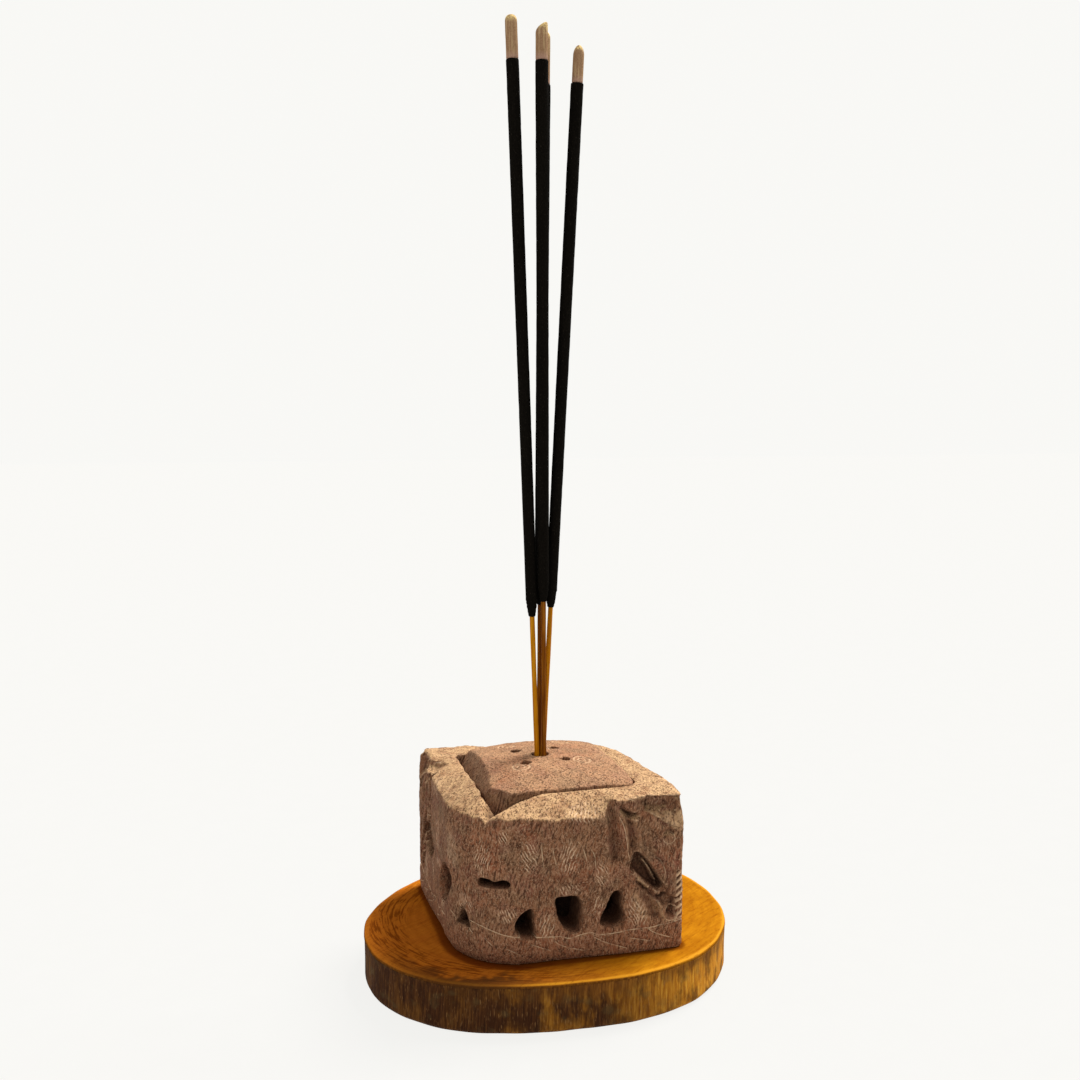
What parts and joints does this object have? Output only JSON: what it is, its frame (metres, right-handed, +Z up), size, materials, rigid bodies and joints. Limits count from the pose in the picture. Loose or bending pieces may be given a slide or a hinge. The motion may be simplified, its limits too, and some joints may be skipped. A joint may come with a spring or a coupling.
{
  "type": "incense burner",
  "caption": "Hollow carved stone incense burner with a drilled domed lid that holds incense sticks, standing on a slice of wood with its bark on.",
  "frame": {"origin": "middle of the wood slice's plan box, on its underside", "axes": "+Z up, towards the stick tips; -Y out of the burner's front face; +X along that face, to its right as seen from the front"},
  "size_m": [0.1104, 0.0964, 0.275],
  "materials": {
    "slice_wood": "waxed, satin",
    "bark": "rough",
    "soapstone": "matt, hand carved",
    "lid_soapstone": "matt, sanded",
    "bamboo": "satin",
    "charcoal_paste": "matt powder",
    "tan_paste": "matt powder"
  },
  "bodies": {
    "base": {"wood_slice": "slice_wood", "bark_edge": "bark"},
    "burner": {"stone_burner": "soapstone"},
    "lid": {"stone_lid": "lid_soapstone"},
    "left_stick": {"left_stick_bamboo": "bamboo", "left_stick_paste": "charcoal_paste", "left_stick_tip": "tan_paste"},
    "middle_stick": {"middle_stick_bamboo": "bamboo", "middle_stick_paste": "charcoal_paste", "middle_stick_tip": "tan_paste"},
    "right_stick": {"right_stick_bamboo": "bamboo", "right_stick_paste": "charcoal_paste", "right_stick_tip": "tan_paste"},
    "back_stick": {"back_stick_bamboo": "bamboo", "back_stick_paste": "charcoal_paste", "back_stick_tip": "tan_paste"}
  },
  "joints": [
    {"name": "burner_lift", "type": "slide", "parent": "base", "child": "burner", "axis": [0, 0, 1], "range_m": [0, 0.03]},
    {"name": "lid_lift", "type": "slide", "parent": "burner", "child": "lid", "axis": [0, 0, 1], "range_m": [0, 0.03]},
    {"name": "left_stick_pull", "type": "slide", "parent": "lid", "child": "left_stick", "axis": [-0.033, 0.009, 0.9994], "range_m": [0, 0.04]},
    {"name": "middle_stick_pull", "type": "slide", "parent": "lid", "child": "middle_stick", "axis": [-0.006, -0.009, 0.9999], "range_m": [0, 0.04]},
    {"name": "right_stick_pull", "type": "slide", "parent": "lid", "child": "right_stick", "axis": [0.0499, -0.005, 0.9987], "range_m": [0, 0.04]},
    {"name": "back_stick_pull", "type": "slide", "parent": "lid", "child": "back_stick", "axis": [0.008, 0, 1], "range_m": [0, 0.04]}
  ]
}
